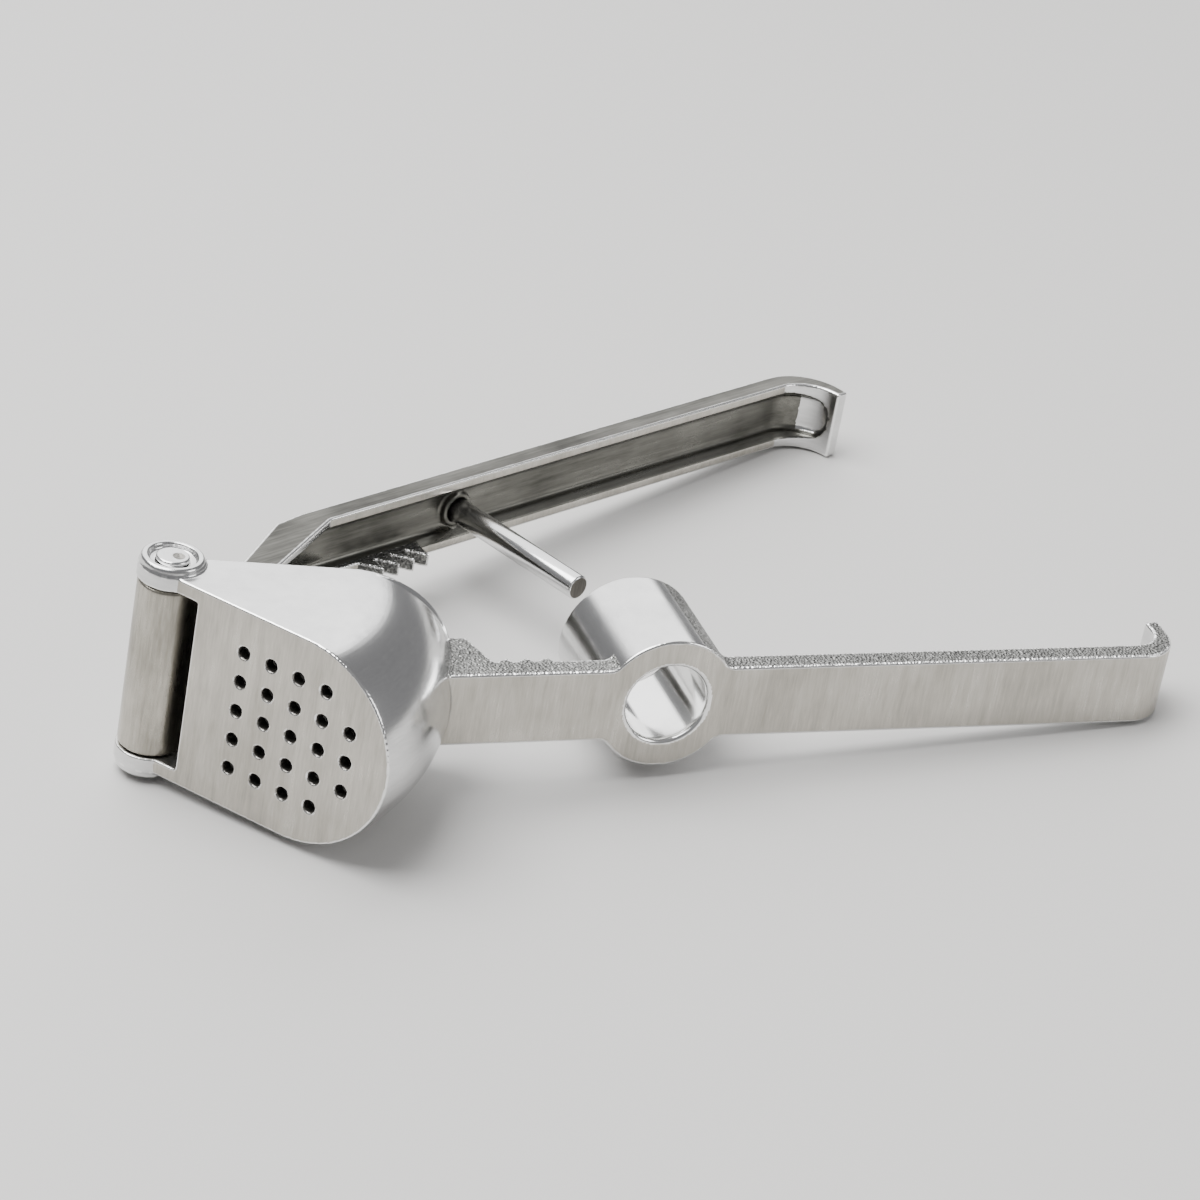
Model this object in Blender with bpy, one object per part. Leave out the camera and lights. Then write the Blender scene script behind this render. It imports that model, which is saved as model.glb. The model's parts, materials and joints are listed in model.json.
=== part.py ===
"""Garlic press with a sieve chamber, a plunger and a stone pitter, lying on its side.

Two cast aluminium levers turn on one riveted steel pin. The lower lever carries the chamber, whose
flat sieve is cast in, and a ring that holds a cherry or an olive. The upper lever carries the barrel
of the hinge, the plunger that swings into the chamber, and a steel pin that pushes the stone out
through the ring.

Both levers are modelled in the tool's own frame: the hinge axis is Z through the origin, and a handle
runs along +X. The upper lever hangs on an empty on the hinge axis, turned by the opening angle. At the
end the whole tool is laid down on the three points that it rests on.
"""

import math

import bmesh
import bpy
from mathutils import Matrix, Vector

MM = 0.001

# How far the levers stand open, from handles parallel.
OPENING = math.radians(25.2)

# Gaps: between pieces that are fixed together, and between pieces that slide past each other.
FIXED_GAP = 0.3 * MM
RUNNING_GAP = 0.5 * MM

# Head: a chamber swept about the hinge axis, open at its rim, with the sieve as its flat floor.
HEAD_WIDTH = 32.1 * MM
HEAD_REACH = 42.0 * MM
HEAD_WALL = 2.3 * MM
SIEVE_THICKNESS = 2.0 * MM
SIEVE_ANGLE = math.radians(-50.6)
SIEVE_OFFSET = 3.4 * MM
RIM_ANGLE = math.radians(-9.6)
RIM_OFFSET = 1.6 * MM
RIM_OVERCUT = math.radians(12)
WINDOW_END = 7.2 * MM

# Sieve holes, on a square grid.
HOLE_DIAMETER = 1.9 * MM
HOLE_PITCH = 4.7 * MM
HOLE_MARGIN = 1.2 * MM
FIRST_HOLE = 15.9 * MM

# Hinge. The ears stand proud of the barrel by the step, and each boss is set in from its ear by it.
# What springs from a round starts this deep inside it.
EAR_RADIUS = 4.9 * MM
EAR_STEP = 0.25 * MM
BARREL_RADIUS = EAR_RADIUS - EAR_STEP
BOSS_RADIUS = EAR_RADIUS - EAR_STEP
BOSS_HEIGHT = 1.2 * MM
ROOT_SINK = 1.0 * MM
HINGE_PIN_RADIUS = 2.0 * MM
RIVET_LIP = 0.9 * MM
RIVET_HEAD_RADIUS = HINGE_PIN_RADIUS + RIVET_LIP
RIVET_HEAD_HEIGHT = 0.6 * MM
RIVET_BEVEL = 0.45 * MM

# Handles: channels with a thin web outside and two flanges inside, curled in at the end.
HANDLE_WIDTH = 11.7 * MM
HANDLE_DEPTH = 3.5 * MM
WEB = 1.5 * MM
FLANGE = 1.5 * MM
LOWER_CURL_RADIUS = 6.5 * MM
UPPER_CURL_RADIUS = 8.5 * MM
CURL_TIP = 2.2 * MM
CURL_DEPTH = 10.2 * MM
TIP_RIM = 1.4 * MM
LOWER_FACE = 16.3 * MM
LOWER_LENGTH = 155.1 * MM
UPPER_FACE = 16.2 * MM
UPPER_LENGTH = 149.9 * MM

# Gusset between the lower handle and the end wall of the chamber.
GUSSET_FLAT = 1.4 * MM
GUSSET_FOOT = 3.6 * MM

# Teeth on one flange of each lever, to crack a shell between the handles. A tooth's tip stands at this
# share of its pitch.
TEETH_THICKNESS = 2.3 * MM
TOOTH_PITCH = 3.1 * MM
TOOTH_LEAN = 0.8
LOWER_TEETH_START = HEAD_REACH + 3.4 * MM
LOWER_TEETH = 3
LOWER_TOOTH_HEIGHT = 1.2 * MM
UPPER_TEETH_START = HEAD_REACH + 7.7 * MM
UPPER_TEETH = 4
UPPER_TOOTH_HEIGHT = 3.4 * MM

# Pitting ring on the lower handle, and its pin in the upper one, which stops short of the ring's face.
RING_PLACE = HEAD_REACH + 30.0 * MM
RING_BORE = 6.2 * MM
RING_WALL = 4.3 * MM
RING_RADIUS = RING_BORE + RING_WALL
RING_LENGTH = 19.1 * MM
SEAT_FLARE = 2.4 * MM
SEAT_DEPTH = 3.0 * MM
PITTER_LEAD = 1.6 * MM
PITTER_PLACE = RING_PLACE - PITTER_LEAD
PITTER_RADIUS = 1.95 * MM
PITTER_BEVEL = 0.4 * MM
PITTER_STOP = 2.6 * MM
PITTER_REACH = UPPER_FACE + LOWER_FACE - PITTER_STOP
PITTER_BOSS_WALL = 0.95 * MM
PITTER_BOSS_RADIUS = PITTER_RADIUS + PITTER_BOSS_WALL
PITTER_BOSS_HEIGHT = 1.2 * MM
PITTER_SKIN = 0.7 * MM

# Upper arm: a neck from the barrel, a slope, and a bend into the straight handle near the chamber's end.
# The neck starts just inside the barrel, and its inner side starts that far below the axis.
ARM_SLOPE = math.radians(29)
ARM_BEND_LENGTH = 5.0 * MM
ARM_BEND_START = HEAD_REACH - 8.0 * MM
ARM_NECK = ARM_BEND_START - 14.0 * MM
ARM_SINK = 0.2 * MM
ARM_FOOT = 2.3 * MM

# Plunger, and the ribs that carry it under the arm.
PLUNGER_THICKNESS = 4.0 * MM
RIB_SETBACK = 8.0 * MM
RIB_REACH = HEAD_REACH - RIB_SETBACK
RIB_TOP = HEAD_REACH + 4.0 * MM
SHORT_RIB_TOP = ARM_NECK + 2.0 * MM

ROUND_SEGMENTS = 32
HOLE_SEGMENTS = 10
WALL_SEGMENTS = 14
SWEEP_SEGMENTS = 7
CURL_SEGMENTS = 6

half_head = HEAD_WIDTH / 2
half_cavity = half_head - HEAD_WALL
half_handle = HANDLE_WIDTH / 2
past = 5 * MM


def clear_scene():
    for obj in list(bpy.data.objects):
        bpy.data.objects.remove(obj, do_unlink=True)


def metal(name, colour, roughness):
    material = bpy.data.materials.new(name)
    material.use_nodes = True
    shader = material.node_tree.nodes["Principled BSDF"]
    shader.inputs["Base Color"].default_value = (*colour, 1)
    shader.inputs["Metallic"].default_value = 1
    shader.inputs["Roughness"].default_value = roughness
    return material


def solid(name, mesh_builder):
    mesh = bmesh.new()
    mesh_builder(mesh)
    bmesh.ops.recalc_face_normals(mesh, faces=mesh.faces[:])
    data = bpy.data.meshes.new(name)
    mesh.to_mesh(data)
    mesh.free()
    obj = bpy.data.objects.new(name, data)
    bpy.context.collection.objects.link(obj)
    return obj


def prism(name, outline, low, high):
    """A plate with the given outline in the XY plane, between two heights."""
    def build(mesh):
        floor = [mesh.verts.new((x, y, low)) for x, y in outline]
        face = mesh.faces.new(floor)
        lifted = bmesh.ops.extrude_face_region(mesh, geom=[face])["geom"]
        verts = [item for item in lifted if isinstance(item, bmesh.types.BMVert)]
        bmesh.ops.translate(mesh, verts=verts, vec=(0, 0, high - low))
    return solid(name, build)


def turned(name, centre, axis, profile, segments=ROUND_SEGMENTS):
    """A round piece from (distance along the axis, radius) steps, starting at centre."""
    turn = Vector((0, 0, 1)).rotation_difference(Vector(axis)).to_matrix().to_4x4()
    place = Matrix.Translation(centre) @ turn

    def build(mesh):
        rings = []
        for distance, radius in profile:
            ring = []
            for step in range(segments):
                angle = 2 * math.pi * step / segments
                point = Vector((radius * math.cos(angle), radius * math.sin(angle), distance))
                ring.append(mesh.verts.new(place @ point))
            rings.append(ring)
        for ring, following in zip(rings, rings[1:]):
            for here in range(segments):
                there = (here + 1) % segments
                mesh.faces.new((ring[here], ring[there], following[there], following[here]))
        mesh.faces.new(rings[0])
        mesh.faces.new(rings[-1])
    return solid(name, build)


def rod(name, centre, axis, radius, length, segments=ROUND_SEGMENTS):
    return turned(name, centre, axis, [(0, radius), (length, radius)], segments)


def plane_angle(angle, offset, radius):
    """Where a circle of this radius about the hinge meets the plane at angle and offset."""
    return angle + math.asin(offset / radius)


def swept_cup(name, half_width, reach, root, start, end):
    """A round-ended slab swept about the hinge axis between two planes, each (angle, offset)."""
    centre = reach - half_width
    section = [(root, -half_width)]
    for step in range(WALL_SEGMENTS + 1):
        turn = math.pi * (step / WALL_SEGMENTS - 0.5)
        section.append((centre + half_width * math.cos(turn), half_width * math.sin(turn)))
    section.append((root, half_width))

    def build(mesh):
        rows = []
        for step in range(SWEEP_SEGMENTS + 1):
            share = step / SWEEP_SEGMENTS
            row = []
            for radius, height in section:
                low = plane_angle(*start, radius)
                high = plane_angle(*end, radius)
                angle = low + (high - low) * share
                row.append(mesh.verts.new((radius * math.cos(angle), radius * math.sin(angle), height)))
            rows.append(row)
        for row, following in zip(rows, rows[1:]):
            for here in range(len(section)):
                there = (here + 1) % len(section)
                mesh.faces.new((row[here], row[there], following[there], following[here]))
        mesh.faces.new(rows[0])
        mesh.faces.new(rows[-1])
    return solid(name, build)


def combine(target, tools, operation):
    """Cuts or joins the tools into the target for good, one after another, and removes them."""
    for tool in tools:
        modifier = target.modifiers.new(tool.name, "BOOLEAN")
        modifier.operation = operation
        modifier.solver = "EXACT"
        modifier.object = tool
        evaluated = target.evaluated_get(bpy.context.evaluated_depsgraph_get())
        data = bpy.data.meshes.new_from_object(evaluated)
        target.modifiers.clear()
        target.data = data
        bpy.data.objects.remove(tool, do_unlink=True)


def arc(centre, radius, start, end, steps):
    turns = [start + (end - start) * step / steps for step in range(steps + 1)]
    return [(centre[0] + radius * math.cos(t), centre[1] + radius * math.sin(t)) for t in turns]


def on_plane(angle, offset, along):
    """The point at this distance along a plane through the hinge, offset across it."""
    return (along * math.cos(angle) - offset * math.sin(angle),
            along * math.sin(angle) + offset * math.cos(angle))


def teeth(start, count, rim, height):
    """A row of saw teeth along a rim at this Y, as points that run along +X."""
    points = []
    for tooth in range(count):
        x = start + tooth * TOOTH_PITCH
        points += [(x, rim), (x + TOOTH_LEAN * TOOTH_PITCH, rim + height)]
    points.append((start + count * TOOTH_PITCH, rim))
    return points


def curl(length, face, radius):
    """The curled end of a handle whose outer face is at -face: outer side out, inner side back."""
    bend = (length - radius, radius - face)
    tip = CURL_DEPTH - face
    outside = arc(bend, radius, -math.pi / 2, 0, CURL_SEGMENTS) + [(length, tip)]
    bend_inside = radius - CURL_TIP
    middle = (length - CURL_TIP - bend_inside, HANDLE_DEPTH - face + bend_inside)
    inside = arc(middle, bend_inside, 0, -math.pi / 2, CURL_SEGMENTS)
    return outside + [(length - CURL_TIP, tip)] + inside


def channel(length, face, radius, start):
    """The space inside a channel handle, above its web, with its outer face at -face."""
    bend = (length - radius, radius - face)
    floor = arc(bend, radius - WEB, -math.pi / 2, 0, CURL_SEGMENTS)
    rim = CURL_DEPTH - face - TIP_RIM
    inlet = length - 2 * radius
    return [(start, WEB - face)] + floor + [(length - WEB, rim), (inlet, rim), (inlet, past), (start, past)]


def mirrored(points):
    return [(x, -y) for x, y in reversed(points)]


def sieve_places():
    """Centres of the sieve holes, as distance along the sieve and height, inside a round-ended field."""
    reach = HEAD_REACH - HEAD_WALL - HOLE_MARGIN - HOLE_DIAMETER / 2
    half_field = half_cavity - HOLE_MARGIN - HOLE_DIAMETER / 2
    centre = reach - half_field
    rows = int(half_field / HOLE_PITCH)
    columns = int((reach - FIRST_HOLE) / HOLE_PITCH) + 1
    places = []
    for column in range(columns):
        for row in range(-rows, rows + 1):
            along = FIRST_HOLE + column * HOLE_PITCH
            height = row * HOLE_PITCH
            if math.hypot(max(along - centre, 0), height) <= half_field:
                places.append((along, height))
    return places


def make_lower_lever():
    head = swept_cup("lower_lever", half_head, HEAD_REACH, EAR_RADIUS - ROOT_SINK,
                     (SIEVE_ANGLE, -SIEVE_OFFSET), (RIM_ANGLE, RIM_OFFSET))
    ear = rod("ear", (0, 0, -half_head), (0, 0, 1), EAR_RADIUS, HEAD_WIDTH)
    boss = rod("boss", (0, 0, -half_head - BOSS_HEIGHT), (0, 0, 1), BOSS_RADIUS,
               HEAD_WIDTH + 2 * BOSS_HEIGHT)

    rim = HANDLE_DEPTH - LOWER_FACE
    gusset_top = RIM_OFFSET / math.cos(RIM_ANGLE) + HEAD_REACH * math.tan(RIM_ANGLE)
    root = HEAD_REACH * math.cos(SIEVE_ANGLE)
    side = [(root, -LOWER_FACE)] + curl(LOWER_LENGTH, LOWER_FACE, LOWER_CURL_RADIUS)
    side += [(HEAD_REACH + GUSSET_FOOT, rim), (HEAD_REACH + GUSSET_FLAT, gusset_top), (root, gusset_top)]
    handle = prism("handle", side, -half_handle, half_handle)
    trough = prism("trough", channel(LOWER_LENGTH, LOWER_FACE, LOWER_CURL_RADIUS, HEAD_REACH),
                   FLANGE - half_handle, half_handle - FLANGE)
    combine(handle, [trough], "DIFFERENCE")

    row = teeth(LOWER_TEETH_START, LOWER_TEETH, rim, LOWER_TOOTH_HEIGHT)
    sunk = WEB / 2 - LOWER_FACE
    saw = prism("saw", [(row[0][0], sunk)] + [(row[-1][0], sunk)] + row[::-1],
                half_handle - TEETH_THICKNESS, half_handle)

    ring = rod("ring", (RING_PLACE, -LOWER_FACE, 0), (0, 1, 0), RING_RADIUS, RING_LENGTH, 40)
    combine(head, [ear, boss, handle, saw, ring], "UNION")

    cavity = swept_cup("cavity", half_cavity, HEAD_REACH - HEAD_WALL, EAR_RADIUS - ROOT_SINK,
                       (SIEVE_ANGLE, SIEVE_THICKNESS - SIEVE_OFFSET), (RIM_ANGLE + RIM_OVERCUT, RIM_OFFSET))
    gap = [on_plane(SIEVE_ANGLE, across, along) for along, across in (
        (-2 * EAR_RADIUS, -2 * EAR_RADIUS), (WINDOW_END, -2 * EAR_RADIUS),
        (WINDOW_END, 2 * EAR_RADIUS), (-2 * EAR_RADIUS, 2 * EAR_RADIUS))]
    window = prism("window", gap, -half_cavity, half_cavity)
    cuts = [cavity, window]
    cuts.append(rod("bore", (0, 0, -HEAD_WIDTH), (0, 0, 1), HINGE_PIN_RADIUS + FIXED_GAP,
                    2 * HEAD_WIDTH, 20))
    for side_sign in (-1, 1):
        start = side_sign * (half_head + BOSS_HEIGHT - RIVET_HEAD_HEIGHT - FIXED_GAP)
        cuts.append(rod("counterbore", (0, 0, start), (0, 0, side_sign),
                        RIVET_HEAD_RADIUS + FIXED_GAP, past, 20))
    cuts.append(rod("ring_bore", (RING_PLACE, -LOWER_FACE - past, 0), (0, 1, 0), RING_BORE,
                    RING_LENGTH + 2 * past))
    mouth = RING_LENGTH - LOWER_FACE
    over = 1 * MM
    wide = RING_BORE + SEAT_FLARE * (1 + over / SEAT_DEPTH)
    cuts.append(turned("seat", (RING_PLACE, mouth + over, 0), (0, -1, 0),
                       [(0, wide), (SEAT_DEPTH + over, RING_BORE)]))
    direction = Vector((-math.sin(SIEVE_ANGLE), math.cos(SIEVE_ANGLE), 0))
    for along, height in sieve_places():
        x, y = on_plane(SIEVE_ANGLE, -SIEVE_OFFSET - over, along)
        cuts.append(rod("hole", (x, y, height), direction, HOLE_DIAMETER / 2, SIEVE_THICKNESS + 2 * over,
                        HOLE_SEGMENTS))
    combine(head, cuts, "DIFFERENCE")
    return head


def arm_outline():
    """Outer side of the upper arm, from the barrel to the start of the straight handle."""
    drop = ARM_BEND_LENGTH * math.tan(ARM_SLOPE / 2) / 2
    bend_end = (ARM_BEND_START + ARM_BEND_LENGTH, UPPER_FACE)
    bend_start = (ARM_BEND_START, UPPER_FACE - drop)
    neck_top = (ARM_NECK, bend_start[1] - (ARM_BEND_START - ARM_NECK) * math.tan(ARM_SLOPE))
    return [(0, BARREL_RADIUS - ARM_SINK), neck_top, bend_start, bend_end]


def make_upper_lever():
    barrel_half = half_cavity - RUNNING_GAP / 2
    lever = rod("upper_lever", (0, 0, -barrel_half), (0, 0, 1), BARREL_RADIUS, 2 * barrel_half)

    face_offset = SIEVE_THICKNESS - SIEVE_OFFSET + RUNNING_GAP
    plunger = swept_cup("plunger", half_cavity - RUNNING_GAP, HEAD_REACH - HEAD_WALL - RUNNING_GAP,
                        BARREL_RADIUS - ROOT_SINK, (SIEVE_ANGLE, face_offset),
                        (SIEVE_ANGLE, face_offset + PLUNGER_THICKNESS))

    rim = UPPER_FACE - HANDLE_DEPTH
    inner_side = mirrored(curl(UPPER_LENGTH, UPPER_FACE, UPPER_CURL_RADIUS))
    arm = arm_outline()
    elbow = (arm[-1][0] + HANDLE_DEPTH, rim)
    neck = (ARM_NECK + HANDLE_DEPTH, arm[1][1] - HANDLE_DEPTH)
    side = inner_side + arm[::-1] + [(0, -ARM_FOOT), neck, elbow]
    handle = prism("handle", side, -half_handle, half_handle)
    space = mirrored(channel(UPPER_LENGTH, UPPER_FACE, UPPER_CURL_RADIUS, arm[-1][0]))
    sloped = [(x + WEB * math.sin(ARM_SLOPE), y - WEB) for x, y in arm[1:3]]
    space = [point for point in space if point[0] > arm[-1][0]]
    space += [(arm[-1][0], UPPER_FACE - WEB)] + sloped[::-1] + [(ARM_NECK, -past), (arm[-1][0], -past)]
    trough = prism("trough", space, FLANGE - half_handle, half_handle - FLANGE)
    combine(handle, [trough], "DIFFERENCE")

    sink = (arm[-1][0], UPPER_FACE - WEB / 2)
    row = [(x, -y) for x, y in teeth(UPPER_TEETH_START, UPPER_TEETH, -rim, UPPER_TOOTH_HEIGHT)]
    plate_end = on_plane(SIEVE_ANGLE, face_offset + PLUNGER_THICKNESS / 2, RIB_REACH)
    rib = [(0, 0), plate_end, (RIB_TOP, rim)] + row + [(row[-1][0], sink[1]), sink]
    rib.append((ARM_NECK, arm[1][1] - WEB / 2))
    long_rib = prism("long_rib", rib, -half_handle, TEETH_THICKNESS - half_handle)
    short_rib = prism("short_rib", [(0, 0), plate_end, (SHORT_RIB_TOP, arm[1][1] - WEB)],
                      half_handle - TEETH_THICKNESS, half_handle)

    boss = rod("boss", (PITTER_PLACE, UPPER_FACE - WEB / 2, 0), (0, -1, 0), PITTER_BOSS_RADIUS,
               WEB / 2 + PITTER_BOSS_HEIGHT, 20)
    combine(lever, [plunger, handle, long_rib, short_rib, boss], "UNION")

    bore = rod("bore", (0, 0, -HEAD_WIDTH), (0, 0, 1), HINGE_PIN_RADIUS + FIXED_GAP, 2 * HEAD_WIDTH, 20)
    socket = rod("socket", (PITTER_PLACE, UPPER_FACE - PITTER_SKIN, 0), (0, -1, 0),
                 PITTER_RADIUS + FIXED_GAP, HANDLE_DEPTH + past, 16)
    combine(lever, [bore, socket], "DIFFERENCE")
    return lever


def make_hinge_pin():
    reach = half_head + BOSS_HEIGHT
    shoulder = reach - RIVET_HEAD_HEIGHT
    edge = RIVET_HEAD_RADIUS - RIVET_BEVEL
    profile = [(-reach, edge), (-shoulder, RIVET_HEAD_RADIUS), (-shoulder, HINGE_PIN_RADIUS),
               (shoulder, HINGE_PIN_RADIUS), (shoulder, RIVET_HEAD_RADIUS), (reach, edge)]
    return turned("hinge_pin", (0, 0, 0), (0, 0, 1), profile, 20)


def make_pitting_pin():
    top = UPPER_FACE - PITTER_SKIN - FIXED_GAP
    length = PITTER_REACH - PITTER_SKIN - FIXED_GAP
    profile = [(0, PITTER_RADIUS), (length - PITTER_BEVEL, PITTER_RADIUS),
               (length, PITTER_RADIUS - PITTER_BEVEL)]
    return turned("pitting_pin", (PITTER_PLACE, top, 0), (0, -1, 0), profile, 24)


def rest_rotation(lower, upper_to_lower):
    """Turns the tool so that the plane under its head and both handle tips is level."""
    tips = (Vector((LOWER_LENGTH, CURL_DEPTH - LOWER_FACE, -half_handle)),
            upper_to_lower @ Vector((UPPER_LENGTH, UPPER_FACE - CURL_DEPTH, -half_handle)))
    across = (tips[1] - tips[0]).normalized()
    towards_head = Vector((0, 0, 1)).cross(across)
    slopes = []
    for vert in lower.data.vertices:
        distance = (vert.co - tips[0]).dot(towards_head)
        if distance > half_head:
            slopes.append((tips[0].z - vert.co.z) / distance)
    up = (Vector((0, 0, 1)) + towards_head * max(slopes)).normalized()
    forward = (Vector((1, 0, 0)) - up * up.x).normalized()
    return Matrix((forward, up.cross(forward), up)).to_4x4()


def bottom_centre(objects):
    bpy.context.view_layer.update()
    points = [obj.matrix_world @ vert.co for obj in objects for vert in obj.data.vertices]
    low = [min(point[axis] for point in points) for axis in range(3)]
    high = [max(point[axis] for point in points) for axis in range(3)]
    return Vector(((low[0] + high[0]) / 2, (low[1] + high[1]) / 2, low[2]))


def main():
    clear_scene()
    tool = bpy.data.objects.new("tool_frame", None)
    hinge = bpy.data.objects.new("hinge_axis", None)
    for empty in (tool, hinge):
        bpy.context.collection.objects.link(empty)
    hinge.parent = tool
    hinge.rotation_euler = (0, 0, OPENING)

    aluminium = metal("cast_aluminium", (0.62, 0.61, 0.58), 0.35)
    pieces = {
        "lower_lever": (make_lower_lever(), tool, aluminium),
        "upper_lever": (make_upper_lever(), hinge, metal("cast_aluminium_upper", (0.5, 0.49, 0.47), 0.4)),
        "hinge_pin": (make_hinge_pin(), tool, metal("rivet_steel", (0.66, 0.65, 0.62), 0.3)),
        "pitting_pin": (make_pitting_pin(), hinge, metal("pin_steel", (0.75, 0.75, 0.74), 0.18)),
    }
    for obj, parent, material in pieces.values():
        obj.parent = parent
        obj.data.materials.clear()
        obj.data.materials.append(material)
        obj.data.shade_smooth()
        obj.data.set_sharp_from_angle(angle=math.radians(35))

    lower = pieces["lower_lever"][0]
    tool.matrix_world = rest_rotation(lower, Matrix.Rotation(OPENING, 4, "Z"))
    centre = bottom_centre([obj for obj, parent, material in pieces.values()])
    tool.matrix_world = Matrix.Translation(-centre) @ tool.matrix_world


main()
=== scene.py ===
import json
import math

import bmesh
import bpy
from mathutils import Matrix, Vector
from mathutils.bvhtree import BVHTree


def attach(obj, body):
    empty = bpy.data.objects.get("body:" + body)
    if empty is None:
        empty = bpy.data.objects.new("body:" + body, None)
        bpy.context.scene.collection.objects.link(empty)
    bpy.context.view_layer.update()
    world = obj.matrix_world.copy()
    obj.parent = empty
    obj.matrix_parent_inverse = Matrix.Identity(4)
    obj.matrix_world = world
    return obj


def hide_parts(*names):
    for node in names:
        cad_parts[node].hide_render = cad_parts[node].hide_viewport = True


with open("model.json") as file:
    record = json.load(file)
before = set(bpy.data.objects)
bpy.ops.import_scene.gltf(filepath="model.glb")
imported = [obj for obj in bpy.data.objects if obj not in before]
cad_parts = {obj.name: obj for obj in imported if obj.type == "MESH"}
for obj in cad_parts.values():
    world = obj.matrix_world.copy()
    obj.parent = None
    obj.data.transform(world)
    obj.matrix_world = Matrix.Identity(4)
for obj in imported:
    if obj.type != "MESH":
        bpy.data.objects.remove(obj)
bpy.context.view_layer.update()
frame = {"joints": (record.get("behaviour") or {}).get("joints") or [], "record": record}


# ---------------------------------------------------------------------------------------------------
# Lower lever. One casting in aluminium: the chamber with its sieve, the two ears of the hinge, the
# ring and a channel handle that curls in at its end. The sieve and the handle's outer side are ground
# flat on a belt, the chamber and the ring are polished, and the handle's sides keep the cast skin.
# ---------------------------------------------------------------------------------------------------

MM = 0.001

# The lever's own frame: the hinge axis is Z through the origin, and the handle runs along +X.
joint = frame["joints"][0]
mounts = {mount["name"]: mount for mount in frame["record"]["mounts"]}
hinge_axis = Vector(joint["axis"])


def lever_place(outward):
    """Where a lever lies: its frame stands on the hinge, with -Y or +Y out of its handle's flat side."""
    across = outward.normalized()
    along = across.cross(hinge_axis).normalized()
    turn = Matrix((along, across, hinge_axis)).transposed().to_4x4()
    return Matrix.Translation(joint["pos_m"]) @ turn


lower_place = lever_place(-Vector(mounts["lower_handle_face"]["axis"]))

HEAD_WIDTH = 32.1 * MM
HEAD_REACH = 42.0 * MM
HEAD_WALL = 2.3 * MM
SIEVE_THICKNESS = 2.0 * MM
SIEVE_ANGLE = math.radians(-50.6)
SIEVE_OFFSET = 3.4 * MM
RIM_ANGLE = math.radians(-9.6)
RIM_OFFSET = 1.6 * MM
RIM_OVERCUT = math.radians(12)
WINDOW_END = 7.2 * MM
EAR_RADIUS = 4.9 * MM
ROOT_RADIUS = 3.9 * MM
BOSS_RADIUS = 4.65 * MM
BOSS_HEIGHT = 1.2 * MM
BORE_RADIUS = 2.3 * MM
HANDLE_WIDTH = 11.7 * MM
HANDLE_DEPTH = 3.5 * MM
WEB = 1.5 * MM
FLANGE = 1.5 * MM
CURL_DEPTH = 10.2 * MM
CURL_TIP = 2.2 * MM
TIP_RIM = 1.4 * MM
LOWER_FACE = 16.3 * MM
LOWER_LENGTH = 155.1 * MM
LOWER_CURL_RADIUS = 6.5 * MM
RING_PLACE = 72.0 * MM
RING_BORE = 6.2 * MM
RING_RADIUS = 10.5 * MM
RING_LENGTH = 19.1 * MM
TOOTH_PITCH = 3.1 * MM
TOOTH_LEAN = 0.8
TEETH_THICKNESS = 2.3 * MM
PAST = 5 * MM

half_head = HEAD_WIDTH / 2
half_cavity = half_head - HEAD_WALL
half_handle = HANDLE_WIDTH / 2


def shader_group(name, inputs, outputs):
    """An empty node group with its sockets, and its input and output nodes."""
    group = bpy.data.node_groups.new(name, "ShaderNodeTree")
    for label, kind, value in inputs:
        socket = group.interface.new_socket(label, in_out="INPUT", socket_type=kind)
        socket.default_value = value
    for label, kind in outputs:
        group.interface.new_socket(label, in_out="OUTPUT", socket_type=kind)
    return group, group.nodes.new("NodeGroupInput"), group.nodes.new("NodeGroupOutput")


def add_noise(tree, coordinates, scale, detail, roughness=0.5):
    noise = tree.nodes.new("ShaderNodeTexNoise")
    noise.inputs["Scale"].default_value = scale
    noise.inputs["Detail"].default_value = detail
    noise.inputs["Roughness"].default_value = roughness
    tree.links.new(coordinates, noise.inputs["Vector"])
    return noise.outputs["Fac"]


def add_spread(tree, value, low, high, to_low, to_high):
    spread = tree.nodes.new("ShaderNodeMapRange")
    spread.inputs["From Min"].default_value = low
    spread.inputs["From Max"].default_value = high
    spread.inputs["To Min"].default_value = to_low
    spread.inputs["To Max"].default_value = to_high
    tree.links.new(value, spread.inputs["Value"])
    return spread.outputs["Result"]


def add_math(tree, operation, first, second):
    node = tree.nodes.new("ShaderNodeMath")
    node.operation = operation
    for socket, value in zip(node.inputs, (first, second)):
        if isinstance(value, (int, float)):
            socket.default_value = value
        else:
            tree.links.new(value, socket)
    return node.outputs["Value"]


def add_lever_place(tree):
    """Where a point lies in its own lever's frame, so that marks stay on the metal as it moves."""
    place = tree.nodes.new("ShaderNodeAttribute")
    place.attribute_name = "lever_place"
    return place


def make_grinding_lines():
    """Long fine scratches: the coordinates are squeezed across the lines and stretched along them."""
    group, given, result = shader_group(
        "grinding_lines",
        [("Lines per metre", "NodeSocketVector", (900, 900, 900))],
        [("Lines", "NodeSocketFloat"), ("Clouds", "NodeSocketFloat")])
    place = add_lever_place(group)
    squeeze = group.nodes.new("ShaderNodeVectorMath")
    squeeze.operation = "MULTIPLY"
    group.links.new(place.outputs["Vector"], squeeze.inputs[0])
    group.links.new(given.outputs["Lines per metre"], squeeze.inputs[1])
    fine = add_noise(group, squeeze.outputs["Vector"], 1.0, 4.0, 0.65)
    coarse = add_noise(group, squeeze.outputs["Vector"], 0.22, 2.0)
    both = add_math(group, "MULTIPLY_ADD", coarse, 0.45)
    group.links.new(add_math(group, "MULTIPLY", fine, 0.55), both.node.inputs[2])
    clouds = add_noise(group, place.outputs["Vector"], 85.0, 3.0)
    group.links.new(both, result.inputs["Lines"])
    group.links.new(clouds, result.inputs["Clouds"])
    return group


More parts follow.
